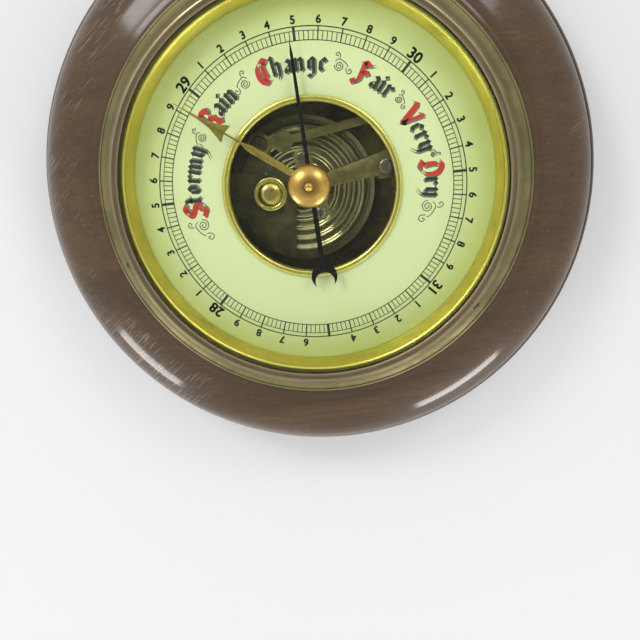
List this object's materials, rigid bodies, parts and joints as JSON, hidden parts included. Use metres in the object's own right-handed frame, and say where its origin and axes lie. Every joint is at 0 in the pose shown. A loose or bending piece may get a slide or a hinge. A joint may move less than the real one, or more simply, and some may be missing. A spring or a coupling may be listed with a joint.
{
  "type": "aneroid barometer",
  "caption": "Round wall barometer: turned wood frame, brass bezel and glass, open-centre dial over a vacuum capsule movement with pointer and set hand.",
  "frame": {"origin": "middle of the wooden frame's flat back", "axes": "+Z out of the dial towards the reader, +Y to twelve o'clock, +X to three o'clock; the barometer lies on its back"},
  "size_m": [0.1748, 0.1748, 0.0474],
  "materials": {
    "wood": "dark stained oak or walnut under old lacquer",
    "aged_brass": "dull, tarnished",
    "brass": "satin",
    "gilt_brass": "polished, lacquered",
    "glass": "clear flat glass",
    "dial_face": "silvered, yellowed",
    "steel": "polished",
    "dark_steel": "browned steel",
    "blued_steel": "blued, glossy",
    "nickel_silver": "plated, lightly tarnished"
  },
  "bodies": {
    "case": {"arbor_bridge": "brass", "base_plate": "aged_brass", "bezel": "aged_brass", "bezel_pin_1": "dark_steel", "bezel_pin_2": "dark_steel", "bezel_pin_3": "dark_steel", "bracket_screw_1": "steel", "bracket_screw_2": "steel", "bridge_post": "brass", "bridge_post_screw": "steel", "bridge_screw_1": "steel", "bridge_screw_2": "steel", "capsule_bottom": "nickel_silver", "cock_pillar_1": "brass", "cock_pillar_2": "brass", "dial": "dial_face", "dial_post_1": "brass", "dial_post_2": "brass", "dial_post_3": "brass", "dial_rim": "gilt_brass", "glass": "glass", "hairspring": "blued_steel", "hairspring_stud": "brass", "hanger_plate": "brass", "hanger_screw_1": "brass", "hanger_screw_2": "brass", "lower_cock": "brass", "movement_pan": "aged_brass", "pan_screw_1": "brass", "pan_screw_2": "brass", "pan_screw_3": "brass", "post_screw_1": "brass", "post_screw_2": "brass", "post_screw_3": "brass", "rocker_bracket": "brass", "sight_ring": "gilt_brass", "spring_foot": "brass", "spring_screw_1": "steel", "spring_screw_2": "steel", "wood_frame": "wood"},
    "pointer": {"arbor": "steel", "indicator_hand": "blued_steel"},
    "capsule_top": {"capsule_top": "nickel_silver"},
    "spring_and_lever": {"main_spring": "dark_steel", "spring_nut": "brass", "spring_pin": "steel", "main_lever": "brass", "lever_screw": "dark_steel"},
    "link": {"link": "steel"},
    "rocker": {"rocker": "steel"},
    "chain": {"chain": "steel"},
    "set_pointer": {"set_knob": "brass", "set_hand": "gilt_brass", "set_washer": "brass"},
    "adjusting_screw": {"adjusting_screw": "steel"}
  },
  "joints": [
    {"name": "capsule_breathe", "type": "slide", "parent": "case", "child": "capsule_top", "axis": [0, 0, 1], "range_m": [-0.00015303, 0.00015034]},
    {"name": "pointer_turn", "type": "hinge", "parent": "case", "child": "pointer", "pos_m": [-0.0002, -0.0013, 0.03], "axis": [0, 0, 1], "range_deg": [-181.62, 178.42], "stiffness_Nm_per_rad": 0.0002},
    {"name": "spring_flex", "type": "hinge", "parent": "case", "child": "spring_and_lever", "pos_m": [-0.03835, -0.0021, 0.01255], "axis": [0, 1, 0], "range_deg": [-0.25688, 0.25688]},
    {"name": "link_swing", "type": "hinge", "parent": "spring_and_lever", "child": "link", "pos_m": [0.0352, 0.019, 0.01905], "axis": [0, 1, 0], "range_deg": [-0.25688, 0.25688]},
    {"name": "rocker_turn", "type": "hinge", "parent": "case", "child": "rocker", "pos_m": [0.0328, 0.0107, 0.01], "axis": [0, 1, 0], "range_deg": [-7.87, 7.87]},
    {"name": "chain_pull", "type": "slide", "parent": "case", "child": "chain", "axis": [1, 0, 0], "range_m": [-0.00151, 0.00151]},
    {"name": "set_hand_turn", "type": "hinge", "parent": "case", "child": "set_pointer", "pos_m": [0, 0, 0.035], "axis": [0, 0, 1], "continuous": true},
    {"name": "adjusting_screw_turn", "type": "hinge", "parent": "case", "child": "adjusting_screw", "pos_m": [-0.0042, -0.0021, 0.003], "axis": [0, 0, 1], "range_deg": [-180, 180]}
  ],
  "couplings": [
    {"joint": "pointer_turn", "follows": "capsule_breathe", "rad_per_m": 20711},
    {"joint": "spring_flex", "follows": "capsule_breathe", "rad_per_m": -29.283},
    {"joint": "link_swing", "follows": "capsule_breathe", "rad_per_m": 29.283},
    {"joint": "rocker_turn", "follows": "capsule_breathe", "rad_per_m": -897.39},
    {"joint": "chain_pull", "follows": "capsule_breathe", "ratio": -9.8713}
  ]
}
